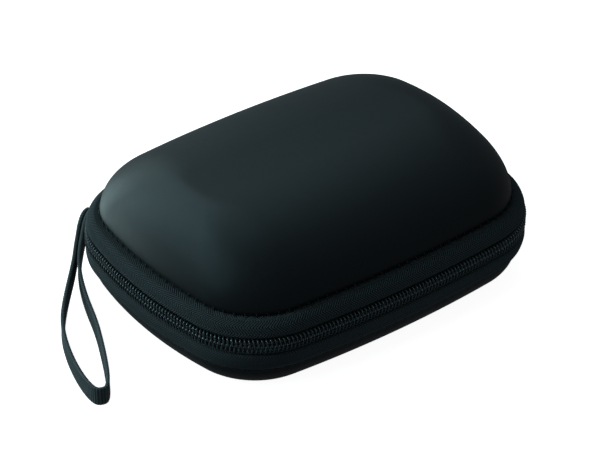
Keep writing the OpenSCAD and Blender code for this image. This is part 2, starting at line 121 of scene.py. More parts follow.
def segments(a, b, r):
    """The outline's twelve arcs, counter-clockwise from the middle of the right end:
    (centre x, centre y, radius, first angle, last angle)."""
    rs, ax, cx, cy, rl, by, t1, t2 = arcs(a, b, r)
    quarter, half, full = math.pi / 2, math.pi, 2 * math.pi
    return [
        (ax, 0, rs, 0, t1),
        (cx, cy, r, t1, t2),
        (0, by, rl, t2, quarter),
        (0, by, rl, quarter, half - t2),
        (-cx, cy, r, half - t2, half - t1),
        (-ax, 0, rs, half - t1, half),
        (-ax, 0, rs, half, half + t1),
        (-cx, -cy, r, half + t1, half + t2),
        (0, -by, rl, half + t2, half + quarter),
        (0, -by, rl, half + quarter, full - t2),
        (cx, -cy, r, full - t2, full - t1),
        (ax, 0, rs, full - t1, full),
    ]


# Points on half of an end, on a corner, and on half of a side
FINE = (40, 60, 66)
MEDIUM = (16, 26, 26)


def outline(a, b, r, o, counts):
    """Points and outward normals round a whole outline moved outward by o."""
    e, c, s = counts
    points, normals = [], []
    for (cx, cy, radius, first, last), n in zip(segments(a, b, r), (e, c, s, s, c, e) * 2):
        t = first + (last - first) * np.arange(n) / n
        normal = np.stack([np.cos(t), np.sin(t)], 1)
        points.append(np.array([cx, cy]) + (radius + o) * normal)
        normals.append(normal)
    return np.concatenate(points), np.concatenate(normals)


class Track:
    """An outline as a path by length, counter-clockwise from the middle of the back."""

    def __init__(self, a, b, r):
        around = segments(a, b, r)
        order = around[3:] + around[:3]
        self.arc = np.array(order)
        lengths = self.arc[:, 2] * (self.arc[:, 4] - self.arc[:, 3])
        self.start = np.concatenate([[0], np.cumsum(lengths)])
        self.length = self.start[-1]

    def at(self, s):
        """Points and outward normals at lengths s."""
        s = np.mod(np.asarray(s, float), self.length)
        k = np.clip(np.searchsorted(self.start, s, "right") - 1, 0, 11)
        cx, cy, radius, first, _ = self.arc[k].T
        t = first + (s - self.start[k]) / radius
        n = np.stack([np.cos(t), np.sin(t)], 1)
        return np.stack([cx, cy], 1) + radius[:, None] * n, n

    def corner(self, side, angle):
        """The length at a corner angle, in degrees from the end round to the back."""
        if side < 0:
            return self.start[1] + self.arc[1, 2] * (math.pi - math.radians(angle) - self.arc[1, 3])
        return self.start[10] + self.arc[10, 2] * (math.radians(angle) - self.arc[10, 3])


ZIP = Track(HALF_L, HALF_W, CORNER_R)
LID_SEAM = Track(HALF_L - LID_INSET, HALF_W - LID_INSET, CORNER_R - LID_INSET)


def back_length(half):
    """The length along the back from its middle to a half width."""
    return ZIP.arc[0, 2] * math.asin(half / ZIP.arc[0, 2])


TAPE_START = back_length(HINGE_HALF + PANEL_GAP)
TAPE_RUN = (TAPE_START, ZIP.length - TAPE_START)
COIL_RUN = (ZIP.corner(-1, COIL_END), ZIP.corner(1, COIL_END))
COIL_TURNS = int((COIL_RUN[1] - COIL_RUN[0]) / COIL_PITCH) - 1
SLIDER_END = ZIP.corner(1, SLIDER_PARK) + SLIDER_REACH


def smoothstep(x):
    x = np.clip(x, 0, 1)
    return x * x * (3 - 2 * x)


def foam_in(tau):
    """Depth of the foam's inner face, tau degrees up the lid's wall or down the tray's."""
    return COVER_T + GAP + FOAM_RIM + (FOAM_T - FOAM_RIM) * np.sin(np.radians(np.minimum(90, tau * 3)))


def lining_out(tau):
    return foam_in(tau) + TAPE_T + 0.2


def lining_in(tau):
    return lining_out(tau) + LINING_T


def at_height(xy, z):
    """Points in plan, all at one height."""
    return np.column_stack([xy, np.full(len(xy), z)])


def lid_ring(tau, depth, counts):
    """Points and normals of one level of the lid, tau degrees up its wall, depth under its face."""
    k = 1 - math.cos(math.radians(tau))
    lean = (LID_LEAN_X + LID_LEAN_Y) / 2
    slope = math.atan2(LID_RISE * math.cos(math.radians(tau)), lean * math.sin(math.radians(tau)))
    start = CORNER_R - LID_INSET
    xy, n = outline(HALF_L - LID_INSET - LID_LEAN_X * k, HALF_W - LID_INSET - LID_LEAN_Y * k,
                    start + (LID_TOP_R - start) * k ** 1.5, -depth * math.sin(slope), counts)
    z = LID_SEAM_Z + LID_RISE * math.sin(math.radians(tau)) - depth * math.cos(slope)
    return at_height(xy, z), at_height(n * math.sin(slope), math.cos(slope))


def lid_top(share, depth, counts):
    """A ring of the lid's flat top, share of the way out from its centre."""
    points, _ = lid_ring(90, depth, counts)
    points[:, :2] *= share
    return points


def base_at(tau, depth):
    """Offset and height of the tray's wall, tau degrees down from its seam."""
    t = math.radians(tau)
    n = np.array([math.cos(t) / BASE_EDGE, math.sin(t) / BASE_H])
    n /= np.linalg.norm(n)
    return np.array([-BASE_INSET - BASE_EDGE * (1 - math.cos(t)) - depth * n[0],
                     BASE_H * (1 - math.sin(t)) + depth * n[1]])


def base_ring(tau, depth, counts):
    """One level of the tray, tau degrees down from its seam and depth under the cover's face."""
    o, z = base_at(tau, depth)
    xy, _ = outline(HALF_L, HALF_W, CORNER_R, o, counts)
    return at_height(xy, z)


# ---- meshes

def add_object(name, data):
    """A new object in the scene."""
    obj = bpy.data.objects.new(name, data)
    bpy.context.scene.collection.objects.link(obj)
    return obj


def mesh_object(name, points, faces, uv=None):
    """A smooth mesh object from points in mm, faces, and one uv pair for each point."""
    mesh = bpy.data.meshes.new(name)
    mesh.from_pydata((np.asarray(points, float) * MM).tolist(), [], [list(f) for f in faces])
    mesh.update()
    mesh.polygons.foreach_set("use_smooth", np.ones(len(mesh.polygons), bool))
    if uv is not None:
        layer = mesh.uv_layers.new(name="UVMap")
        corner = np.zeros(len(mesh.loops), np.int32)
        mesh.loops.foreach_get("vertex_index", corner)
        layer.data.foreach_set("uv", np.asarray(uv, np.float32)[corner].ravel())
    return add_object(name, mesh)


def unit(vectors):
    """Rows of vectors, each scaled to length 1."""
    return vectors / np.linalg.norm(vectors, axis=1)[:, None]


def grid_faces(m, n, wrap_m, wrap_n, first=0):
    """Quads of an m by n grid of points."""
    rows, columns = m if wrap_m else m - 1, n if wrap_n else n - 1
    i, j = (index.ravel() for index in np.meshgrid(np.arange(rows), np.arange(columns), indexing="ij"))
    a = i * n + j
    b = ((i + 1) % m) * n + j
    c = ((i + 1) % m) * n + (j + 1) % n
    d = i * n + (j + 1) % n
    return (np.stack([a, d, c, b], 1) + first).tolist()


def run_length(points):
    """The length along a line of points, from 0 at its first."""
    return np.concatenate([[0], np.cumsum(np.linalg.norm(np.diff(points, axis=0), axis=1))])


def loft(name, rings):
    """A closed solid through rings of points, with flat caps at both ends."""
    m, n = len(rings), len(rings[0])
    faces = grid_faces(m, n, False, True)
    faces.append(list(range(n))[::-1])
    faces.append([(m - 1) * n + i for i in range(n)])
    return mesh_object(name, np.concatenate(rings), faces)


def band_grid(track, lengths, profile):
    """Points of a band: every point of its profile (offset, height) at every length along a track."""
    p, n = track.at(lengths)
    o, z = profile[:, 0], profile[:, 1]
    xy = p[:, None, :] + n[:, None, :] * o[None, :, None]
    return np.concatenate([xy, np.broadcast_to(z[None, :, None], xy.shape[:2] + (1,))], 2)


def capped_band(name, grid, uv):
    """A band with a closed section and flat caps at its two ends."""
    m, n = grid.shape[:2]
    faces = grid_faces(m, n, False, True)
    faces.append(list(range(n)))
    faces.append([(m - 1) * n + i for i in range(n)][::-1])
    return mesh_object(name, grid.reshape(-1, 3), faces, uv)


def ring_band(name, track, profile, step):
    """A band with a closed section all the way round a track."""
    count = int(track.length / step)
    grid = band_grid(track, np.arange(count) * track.length / count, profile)
    m, n = grid.shape[:2]
    run = np.repeat(np.arange(m) * track.length / m, n)
    across = np.tile(run_length(profile), m)
    uv = np.stack([run, across], 1)
    return mesh_object(name, grid.reshape(-1, 3), grid_faces(m, n, True, True), uv)


def curve_through(points, step):
    """A smooth open curve through points, sampled about every step."""
    p = np.asarray(points, float)
    ends = np.concatenate([[2 * p[0] - p[1]], p, [2 * p[-1] - p[-2]]])
    out = []
    for k in range(len(p) - 1):
        a, b, c, d = ends[k:k + 4]
        n = max(1, int(round(np.linalg.norm(c - b) / step)))
        t = (np.arange(n) / n)[:, None]
        out.append(0.5 * (2 * b + (c - a) * t + (2 * a - 5 * b + 4 * c - d) * t ** 2
                          + (3 * b - a - 3 * c + d) * t ** 3))
    out.append(p[-1:])
    return np.concatenate(out)


def tubes(name, lines, radii, sides=8):
    """Round strands along lines of points. radii has a radius for each line, or for each of its points."""
    points, faces = [], []
    turn = np.arange(sides) * 2 * math.pi / sides
    first = 0
    for line, radius in zip(lines, radii):
        line = np.asarray(line, float)
        tangent = np.gradient(line, axis=0)
        tangent /= np.linalg.norm(tangent, axis=1)[:, None] + 1e-12
        guide = np.where(np.abs(tangent[:, 2:3]) > 0.95, [[1.0, 0, 0]], [[0, 0, 1.0]])
        side = unit(np.cross(guide, tangent))
        other = np.cross(tangent, side)
        r = np.broadcast_to(np.asarray(radius, float), (len(line),))[:, None, None]
        ring = line[:, None] + r * (side[:, None] * np.cos(turn)[None, :, None]
                                    + other[:, None] * np.sin(turn)[None, :, None])
        m = len(line)
        points.append(ring.reshape(-1, 3))
        faces += grid_faces(m, sides, False, True, first)
        faces.append([first + i for i in range(sides)][::-1])
        faces.append([first + (m - 1) * sides + i for i in range(sides)])
        first += m * sides
    return mesh_object(name, np.concatenate(points), faces)


# ---- materials

class Shader:
    """One node material under construction."""

    def __init__(self, name):
        self.material = bpy.data.materials.new(name)
        self.material.use_nodes = True
        self.tree = self.material.node_tree
        self.bsdf = self.tree.nodes["Principled BSDF"]

    def add(self, kind, inputs=(), **settings):
        """A node with settings, and inputs given as values or as sockets to link from."""
        node = self.tree.nodes.new(kind)
        for key, value in settings.items():
            setattr(node, key, value)
        for key, value in dict(inputs).items():
            self.put(node.inputs[key], value)
        return node

    def put(self, socket, value):
        if isinstance(value, bpy.types.NodeSocket):
            self.tree.links.new(value, socket)
        elif isinstance(value, tuple) and socket.type == "RGBA":
            socket.default_value = (*value[:3], 1)
        else:
            socket.default_value = value

    def math(self, operation, a, b=0.0):
        return self.add("ShaderNodeMath", {0: a, 1: b}, operation=operation).outputs[0]

    def coordinates(self):
        return self.add("ShaderNodeTexCoord").outputs["Object"]

    def uv(self):
        parts = self.add("ShaderNodeSeparateXYZ", {0: self.add("ShaderNodeTexCoord").outputs["UV"]})
        return parts.outputs[0], parts.outputs[1]

    def noise(self, size, detail=3.0):
        """Noise between 0 and 1 whose features are about size mm."""
        inputs = {"Vector": self.coordinates(), "Scale": 1 / (size * MM), "Detail": detail}
        return self.add("ShaderNodeTexNoise", inputs).outputs["Fac"]

    def cells(self, size):
        """The distance to the middle of the nearest cell; cells are about size mm."""
        inputs = {"Vector": self.coordinates(), "Scale": 1 / (size * MM)}
        return self.add("ShaderNodeTexVoronoi", inputs).outputs["Distance"]

    def between(self, low, high, factor):
        """A value or a colour between low and high."""
        if isinstance(low, (int, float)):
            return self.add("ShaderNodeMapRange", {0: factor, 3: low, 4: high}).outputs[0]
        return self.add("ShaderNodeMix", {0: factor, 6: low, 7: high}, data_type="RGBA").outputs[2]

    def darker(self, color, share):
        """A colour scaled by share."""
        return self.add("ShaderNodeVectorMath", {0: color, "Scale": share}, operation="SCALE").outputs[0]

    def wave(self, value, pitch):
        """0 to 1 and back once every pitch of value."""
        turns = self.math("MULTIPLY", value, 2 * math.pi / pitch)
        return self.math("MULTIPLY_ADD", self.math("SINE", turns), 0.5)

    def bump(self, height, depth, normal=None):
        """depth is in mm."""
        inputs = {"Height": height, "Distance": depth * MM, "Strength": 1.0}
        if normal is not None:
            inputs["Normal"] = normal
        return self.add("ShaderNodeBump", inputs).outputs[0]

    def surface(self, color, roughness, normal=None, specular=0.4, sheen=0.0, metallic=0.0, tint=COOL):
        """Sets the material's inputs, and returns it."""
        values = {"Base Color": color, "Roughness": roughness, "Specular IOR Level": specular,
                  "Sheen Weight": sheen, "Sheen Roughness": 0.5, "Metallic": metallic,
                  "Specular Tint": tint, "Sheen Tint": tint}
        if normal is not None:
            values["Normal"] = normal
        for key, value in values.items():
            self.put(self.bsdf.inputs[key], value)
        return self.material


def tone(level):
    """A near-black with the cool cast that every part of the case has."""
    return tuple(level * c for c in COOL)


def leather(name, level, roughness):
    """Matte coated leather: a soft pebble grain, slight cloudiness in colour and gloss."""
    s = Shader(name)
    color = s.between(tone(level * 0.8), tone(level * 1.25), s.noise(18, 2))
    grain = s.bump(s.noise(0.25, 3), 0.004)
    grain = s.bump(s.cells(0.7), 0.01, grain)
    rough = s.between(roughness - 0.05, roughness + 0.05, s.noise(2.5, 4))
    return s.surface(color, rough, grain, specular=0.42, sheen=0.04)


def herringbone(name, level):
    """Zip tape: slanted ribs that turn back every few yarns, with a yarn grain across them."""
    s = Shader(name)
    u, v = s.uv()
    fold = s.math("PINGPONG", v, RIB_BAND)
    rib = s.wave(s.math("ADD", u, fold), RIB_PITCH)
    yarn = s.wave(s.math("SUBTRACT", v, s.math("MULTIPLY", u, 0.6)), 0.21)
    fuzz = s.noise(0.12, 4)
    # Painted shade and light: the colour follows the ribs' relief, dark in their grooves and light on their
    # crests, and darker where the fuzz is low, over the tape's own near-black
    color = s.between(tone(level * 0.05), tone(level * 2.1), rib)
    color = s.between(s.darker(color, 0.6), color, fuzz)
    normal = s.bump(fuzz, 0.03)
    normal = s.bump(yarn, 0.03, normal)
    normal = s.bump(rib, 0.08, normal)
    return s.surface(color, s.between(0.62, 0.8, yarn), normal, specular=0.18, sheen=0.03)


def ribbed(name, level, pitch, sheen=0.1, rough=0.6):
    """Narrow woven goods: cross ribs pitch mm apart along u, a warp grain along v."""
    s = Shader(name)
    u, v = s.uv()
    rib = s.wave(u, pitch)
    warp = s.wave(v, 0.36)
    fuzz = s.noise(0.1, 4)
    # Painted shade and light: the colour follows the cross ribs' relief, dark in their grooves and light on
    # their crests
    color = s.between(tone(level * 0.25), tone(level * 1.7), rib)
    normal = s.bump(fuzz, 0.02)
    normal = s.bump(warp, 0.03, normal)
    normal = s.bump(rib, 0.05, normal)
    roughness = s.between(rough - 0.08, rough + 0.1, warp)
    return s.surface(color, roughness, normal, specular=0.35, sheen=sheen)


def nylon(name, level):
    """Moulded zip filament: smooth and fairly glossy, drawn lengthwise."""
    s = Shader(name)
    color = s.between(tone(level * 0.8), tone(level * 1.4), s.noise(1.2, 2))
    normal = s.bump(s.noise(0.15, 2), 0.006)
    return s.surface(color, s.between(0.2, 0.3, s.noise(0.8, 3)), normal, specular=0.7)


def twisted(name, level):
    """Sewing thread: a fine slanted twist and a faint fuzz."""
    s = Shader(name)
    tilted = s.add("ShaderNodeMapping", {"Vector": s.coordinates(), "Rotation": (0.6, 0.4, 0.8)})
    parts = s.add("ShaderNodeSeparateXYZ", {0: tilted.outputs[0]}).outputs
    twist = s.wave(parts[0], 0.22 * MM)
    # Painted shade and light: the colour follows the twist's relief, darker in its grooves and lighter on
    # its ridges
    color = s.between(tone(level * 0.5), tone(level * 1.3), twist)
    normal = s.bump(twist, 0.05, s.bump(s.noise(0.08, 3), 0.02))
    return s.surface(color, s.between(0.45, 0.6, twist), normal, specular=0.4, sheen=0.15)


def knit(name, level, gauge, sheen):
    """Lining cloth: fine wales and courses, brushed."""
    s = Shader(name)
    parts = s.add("ShaderNodeSeparateXYZ", {0: s.coordinates()}).outputs
    wale = s.wave(parts[0], gauge * MM)
    course = s.wave(parts[1], gauge * 0.8 * MM)
    loops = s.math("MULTIPLY", wale, course)
    brushed = s.noise(0.3, 5)
    color = s.between(tone(level * 0.6), tone(level * 1.3), s.noise(9, 3))
    normal = s.bump(brushed, 0.05)
    normal = s.bump(loops, 0.06, normal)
    return s.surface(color, s.between(0.75, 0.92, brushed), normal, specular=0.25, sheen=sheen)


def cellular(name, level):
    """Pressed foam: closed cells of two sizes."""
    s = Shader(name)
    cells = s.cells(0.7)
    # Painted shade: the colour follows the cells' relief, darker in the pit at the middle of each cell
    color = s.between(tone(level * 0.7), tone(level * 1.3), cells)
    normal = s.bump(cells, 0.12, s.bump(s.cells(0.25), 0.05))
    return s.surface(color, s.between(0.75, 0.9, s.noise(2, 3)), normal, specular=0.3)


def enamel(name, level):
    """Black painted metal, a little orange peel, worn to bare metal along its edges."""
    s = Shader(name)
    rounded = s.add("ShaderNodeBevel", {"Radius": 0.35 * MM}, samples=6).outputs[0]
    flat = s.add("ShaderNodeNewGeometry").outputs["Normal"]
    along = s.add("ShaderNodeVectorMath", {0: rounded, 1: flat}, operation="DOT_PRODUCT").outputs["Value"]
    edge = s.math("SUBTRACT", 1.0, along)
    worn = s.math("MULTIPLY", s.math("MULTIPLY", edge, 6.0), s.noise(0.7, 4))
    worn = s.add("ShaderNodeClamp", {0: worn}).outputs[0]
    color = s.between(tone(level), (0.42, 0.42, 0.43), worn)
    normal = s.bump(s.noise(0.9, 2), 0.01, rounded)
    return s.surface(color, s.between(0.3, 0.45, s.noise(0.5, 4)), normal, specular=0.5, metallic=worn)


LEATHER = leather("coated_leather", 0.007, 0.47)
TAPE = herringbone("zip_tape_weave", 0.027)
COIL = nylon("coil_nylon", 0.04)
THREAD = twisted("sewing_thread", 0.02)
SEAM_THREAD = twisted("seam_thread", 0.006)
LINING = knit("brushed_lining", 0.045, 0.5, 0.35)
FOAM = cellular("moulded_foam", 0.03)
BINDING = ribbed("binding_tape", 0.02, 0.5)
WEBBING = ribbed("strap_webbing", 0.022, WEB_RIB_PITCH, 0.12, 0.5)
NET = twisted("net_yarn", 0.09)
ELASTIC = ribbed("ribbed_elastic", 0.05, 0.9)
METAL = enamel("black_enamel", 0.012)


def dress(obj, body, material, slot, *nodes):
    """Gives a piece its material and its body, and hides the CAD nodes that it stands for."""
    obj.data.materials.append(material)
    if body is not None:
        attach(obj, body)
    if nodes:
        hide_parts(*nodes)
    return obj


# ---- shells

def evenly(track, pitch):
    """Lengths spaced by about pitch all the way round a track."""
    count = round(track.length / pitch)
    return (np.arange(count) + 0.5) * track.length / count


def dimpled(points, normals, centres, depth, size):
    """Points pushed in where stitches pull the cover."""
    gap = np.linalg.norm(points[:, None] - centres[None], axis=2).min(1)
    return points - normals * (depth * np.exp(-(gap / size) ** 2))[:, None]


def lid_shell():
    """The lid's cover: a smooth dome whose lower edge is rolled in and drawn down by its stitches."""
    p, _ = LID_SEAM.at(evenly(LID_SEAM, STITCH_PITCH))
    centres = at_height(p, LID_SEAM_Z + 0.3)
    rings = [lid_top(share, COVER_T, FINE) for share in (0.1, 0.4, 0.7)]
    rings += [lid_ring(tau, COVER_T, FINE)[0] for tau in (90, 78, 66, 54, 42, 30, 20, 10, 4, 1)]
    for depth, drop in ((0.9, 0.1), (0.65, 0.22), (0.4, 0.24), (0.22, 0.14)):
        ring = lid_ring(0, depth + 0.1, FINE)[0]
        ring[:, 2] -= drop
        rings.append(ring)
    for tau in np.concatenate([np.arange(0, 12, 0.75), np.arange(12, 40, 2), np.arange(40, 90, 3), [90]]):
        ring, normals = lid_ring(tau, 0, FINE)
        height = ring[0, 2] - LID_SEAM_Z
        roll = 0.28 * max(0, 1 - height / 1.3) ** 2
        rings.append(dimpled(ring, normals, centres, 0.16, 0.5) - normals * roll)
    rings += [lid_top(share, 0, FINE) for share in (0.94, 0.86, 0.75, 0.6, 0.45, 0.3, 0.15, 0.05)]
    return dress(loft("lid_shell", rings), "lid", LEATHER, "cover", "lid_cover")


def base_shell():
    """The tray's cover, its top edge rolled in under the tape."""
    p, n = ZIP.at(evenly(ZIP, STITCH_PITCH))
    centres = at_height(p - n * BASE_INSET, BASE_H - 0.8)
    rings = [base_ring(tau, COVER_T, FINE) for tau in (90, 75, 60, 45, 30, 15, 5)]
    for depth, rise in ((0.95, 0.0), (0.7, 0.16), (0.4, 0.2), (0.15, 0.1)):
        o, z = base_at(0, depth)
        xy, _ = outline(HALF_L, HALF_W, CORNER_R, o, FINE)
        rings.append(at_height(xy, z + rise))
    for tau in np.concatenate([np.arange(0, 16, 1.5), np.arange(18, 90, 6), [86, 90]]):
        ring = base_ring(tau, 0, FINE)
        _, n = outline(HALF_L, HALF_W, CORNER_R, 0, FINE)
        rings.append(dimpled(ring, at_height(n, 0), centres, 0.12, 0.6))
    return dress(loft("base_shell", rings), "base", LEATHER, "cover", "base_cover")


def stitches(name, track, path, radius, body, node):
    """A row of sewing stitches. path is one thread as (along, offset, height) points."""
    path = curve_through(path, 0.25)
    lines, radii = [], []
    for middle in evenly(track, STITCH_PITCH):
        p, n = track.at(middle + path[:, 0])
        lines.append(np.column_stack([p + n * path[:, 1:2], path[:, 2]]))
        radii.append(np.full(len(path), radius))
    return dress(tubes(name, lines, radii), body, SEAM_THREAD, "thread", node)


def lid_stitches():
    """Short stitches from the lid's wall over its rolled edge into the tape."""
    path = [(-0.15, -0.7, 25.6), (-0.1, -0.1, 25.3), (0, 0.08, 24.9), (0.1, 0.25, 24.4),
            (0.15, 0.3, 24.0)]
    return stitches("lid_seam_thread", LID_SEAM, path, 0.2, "lid", "lid_seam_stitches")


def base_stitches():
    """Lengthwise stitches in the crease between the tray and its tape."""
    path = [(-0.9, -2.4, 7.9), (-0.7, -1.7, 7.95), (0, -1.55, 8.02), (0.7, -1.7, 7.95), (0.9, -2.4, 7.9)]
    return stitches("base_seam_thread", ZIP, path, 0.17, "base", "base_seam_stitches")


# ---- zip

def relief(lengths, v):
    """Herringbone ribs and the pucker along the seam, in mm, at lengths along the tape and v across it."""
    inside = np.clip(np.minimum(v - SEAM_MARGIN, v[-1] - v - COIL_MARGIN) / MARGIN_FADE, 0, 1)
    fold = RIB_BAND - np.abs(np.mod(v, 2 * RIB_BAND) - RIB_BAND)
    rib = np.sin(2 * np.pi * (lengths[:, None] + fold[None]) / RIB_PITCH)
    pull = np.exp(-((v - PUCKER_AT) / PUCKER_WIDTH) ** 2)
    pucker = np.cos(2 * np.pi * lengths / STITCH_PITCH)[:, None] * pull[None]
    return 0.5 * RIB_DEPTH * rib * inside[None] + PUCKER_DEPTH * pucker


def close_beyond_coil(grid, lengths, profile, outward, side):
    """Beyond the coil and the parked slider, brings a tape's edge to the parting plane and lays it flat."""
    gap, most, ease = 0.04, 1.15, 1.2
    apart = np.abs(profile[:, 1] - PARTING_Z)
    near = 1 - smoothstep((apart - TAPE_EDGE) / 1.6)
    rise = np.clip(FLAT_TAPE - profile[:, 0], 0, most) * (1 - smoothstep((apart - 2.9) / 0.9))
    shut = smoothstep((COIL_RUN[0] - 2.0 - lengths) / ease) + smoothstep((lengths - SLIDER_END) / ease)
    grid[:, :, 2] -= side * (TAPE_EDGE - gap) * shut[:, None] * near[None]
    grid[:, :, :2] += outward[:, None] * (shut[:, None] * rise[None])[:, :, None]


def tape(name, body, side, outer, inner, node):
    """One zip tape, side 1 for the lid's. outer and inner are its two faces as (offset, height) points
    from the shell to the coil."""
    face = curve_through(outer, 0.17)
    back = curve_through(inner, 1.0)
    profile = np.concatenate([face, back[::-1]])
    across = run_length(profile)
    lengths = np.arange(TAPE_RUN[0], TAPE_RUN[1] + 0.08, RIB_PITCH / 4)
    slope = unit(np.gradient(face, axis=0))
    normal = np.stack([-slope[:, 1], slope[:, 0]], 1) * side
    move = relief(lengths, across[:len(face)])
    grid = band_grid(ZIP, lengths, profile)
    _, outward = ZIP.at(lengths)
    close_beyond_coil(grid, lengths, profile, outward, side)
    grid[:, :len(face), :2] += outward[:, None] * (move * normal[None, :, 0])[:, :, None]
    grid[:, :len(face), 2] += move * normal[None, :, 1]
    uv = np.stack([np.repeat(lengths, len(profile)), np.tile(across, len(lengths))], 1)
    return dress(capped_band(name, grid, uv), body, TAPE, "tape", node)


def upper_tape():
    """The lid's tape: it runs out from the lid's seam, rolls over and turns in to the coil."""
    outer = [(-6.0, 24.2), (-4.7, 24.3), (-3.6, 24.35), (-2.5, 24.2), (-1.6, 23.8), (-0.9, 23.2),
             (-0.4, 22.4), (-0.1, 21.5), (0.05, 20.7), (-0.05, 20.15), (-0.5, 19.85), (-1.1, 19.75),
             (-1.4, 19.6), (-1.5, 19.2), (-1.5, PARTING_Z + TAPE_EDGE)]
    inner = [(-6.4, 23.7), (-5.5, 23.2), (-2.7, 21.2), (-2.3, 19.8), (-2.2, PARTING_Z + TAPE_EDGE)]
    return tape("upper_zip_tape_weave", "lid", 1, outer, inner, "upper_zip_tape")


def lower_tape():
    """The tray's tape: it rises from the tray's seam, bulges and turns in to the coil."""
    outer = [(-3.2, 8.2), (-1.9, 8.3), (-1.2, 8.6), (-0.6, 9.2), (0.05, 10.2), (0.32, 11.3), (0.45, 12.2),
             (0.35, 13.1), (0.05, 13.85), (-0.5, 14.2), (-1.1, 14.3), (-1.4, 14.45), (-1.5, 14.8),
             (-1.5, PARTING_Z - TAPE_EDGE)]
    inner = [(-3.6, 8.7), (-3.0, 9.6), (-2.2, 12.5), (-2.2, PARTING_Z - TAPE_EDGE)]
    return tape("lower_zip_tape_weave", "base", -1, outer, inner, "lower_zip_tape")


def coil(name, body, side, node):
    """Half of the coil: one filament wound flat, its heads reaching between the other half's."""
    t = np.arange(COIL_TURNS * 20 + 1) / 20
    start = COIL_RUN[0] + (0.0 if side > 0 else COIL_PITCH / 2)
    p, n = ZIP.at(start + COIL_PITCH * t)
    across, depth = np.cos(2 * np.pi * t), np.sin(2 * np.pi * t)
    across = np.sign(across) * np.abs(across) ** 0.8
    depth = np.sign(depth) * np.abs(depth) ** 0.7
    line = np.column_stack([p + n * (-0.3 + 0.66 * depth)[:, None],
                            PARTING_Z + side * (0.87 + 1.2 * across)])
    radius = COIL_R + 0.045 * np.clip(-across, 0, 1) ** 4
    return dress(tubes(name, [line], [radius]), body, COIL, "coil", node)


def coil_stitching(name, body, side):
    """The thread that sews the coil to its tape, one short stitch over each turn of the filament."""
    t = np.linspace(-1, 1, 7)
    lines = []
    for k in range(COIL_TURNS):
        p, n = ZIP.at(COIL_RUN[0] + COIL_PITCH * (k + 0.25) + 0.46 * t)
        out = 0.62 - 0.3 * t ** 2
        lines.append(np.column_stack([p + n * out[:, None], PARTING_Z + side * (1.5 + 0.16 * t)]))
    return dress(tubes(name, lines, [0.1] * COIL_TURNS, 6), body, SEAM_THREAD, "thread")


# ---- strap

CORNER_X, CORNER_Y = arcs(HALF_L, HALF_W, CORNER_R)[2:4]
STRAP_ANGLE = math.radians(69)
STRAP_OUT, STRAP_Z = 3.4, 12.9
STRAND_GAP, STRAND_OPENING = 0.12, 4.2
STRAP_PIVOT = np.array([-(CORNER_X + (CORNER_R + STRAP_OUT) * math.cos(STRAP_ANGLE)),
                        CORNER_Y + (CORNER_R + STRAP_OUT) * math.sin(STRAP_ANGLE)])
STRAP_CURVE = np.array([STRAP_PIVOT + [-1.5, -0.6], STRAP_PIVOT + [-13, -7.8],
                        [-HALF_L - 10, 21], [-HALF_L - 23.4, -16.4]])


def strap_middle(t):
    """The middle between the strands, t from 0 at the anchor to 1 at the tip: place, height, half gap."""
    t = np.asarray(t, float)[:, None]
    a, b, c, d = STRAP_CURVE
    xy = a * (1 - t) ** 3 + b * 3 * t * (1 - t) ** 2 + c * 3 * t ** 2 * (1 - t) + d * t ** 3
    t = t[:, 0]
    lift = STRAP_Z + 1.2 * np.sin(np.radians(np.minimum(180, t * 900))) - WEB_W / 2
    z = WEB_W / 2 + lift * (1 - smoothstep(t / 0.62))
    closing = np.sqrt(np.clip(1 - (np.maximum(0, t - 0.75) / 0.25) ** 2, 0, 1))
    half = STRAND_GAP + WEB_T / 2 + STRAND_OPENING * smoothstep((t - 0.3) / 0.45) * closing
    return xy, z, half


def strap_strand(side, t):
    """Points of one strand's middle line, and the directions across it."""
    xy, z, half = strap_middle(t)
    ahead, _, _ = strap_middle(np.minimum(1, t + 0.01))
    behind, _, _ = strap_middle(np.maximum(0, t - 0.01))
    d = unit(ahead - behind)
    across = np.stack([-d[:, 1], d[:, 0]], 1)
    return np.column_stack([xy + side * across * half[:, None], z]), across


def resampled(line, step):
    """A line of points spaced evenly by length and eased."""
    run = run_length(line)
    count = int(run[-1] / step)
    even = np.linspace(0, run[-1], count)
    out = np.stack([np.interp(even, run, line[:, k]) for k in range(line.shape[1])], 1)
    for _ in range(int(0.5 / step) ** 2 * 2 + 4):
        out[1:-1] = 0.25 * out[:-2] + 0.5 * out[1:-1] + 0.25 * out[2:]
    return out, even


def webbing(name, line, run, width, thickness):
    """A ribbon on edge along a line: cross ribs on its faces and a thicker selvage along both edges."""
    tangent = unit(np.gradient(line, axis=0))
    across = unit(np.stack([-tangent[:, 1], tangent[:, 0], np.zeros(len(line))], 1))
    up = np.cross(tangent, across)
    heights = np.array([-1, -0.985, -0.93, -0.86, -0.8, -0.4, 0, 0.4, 0.8, 0.86, 0.93, 0.985, 1])
    swell = np.array([0.45, 0.8, 1, 1, 0.88, 0.86, 0.86, 0.86, 0.88, 1, 1, 0.8, 0.45])
    h = np.concatenate([heights, heights[::-1]]) * width / 2
    rib = 0.06 * np.sin(2 * np.pi * run / WEB_RIB_PITCH)
    thick = np.concatenate([swell, -swell[::-1]])[None] * (thickness / 2 + rib[:, None] - 0.03)
    grid = line[:, None] + across[:, None] * thick[:, :, None] + up[:, None] * h[None, :, None]
    v = np.concatenate([heights, heights[::-1] + 0.1]) * width / 2
    uv = np.stack([np.repeat(run, len(h)), np.tile(v, len(line))], 1)
    return capped_band(name, grid, uv)


def wrist_strap():
    t = 1 - (1 - np.linspace(0, 1, 240)[:-1]) ** 1.6
    out, _ = strap_strand(-1, t)
    back, _ = strap_strand(1, t)
    tip, z, _ = strap_middle([1.0])
    line = np.concatenate([out, np.column_stack([tip, z]), back[::-1]])
    line, run = resampled(line, 0.15)
    line[:, 2] = np.maximum(line[:, 2], WEB_W / 2 + 0.05)
    return dress(webbing("wrist_strap_webbing", line, run, WEB_W, WEB_T), "strap", WEBBING, "webbing",
                 "wrist_strap")


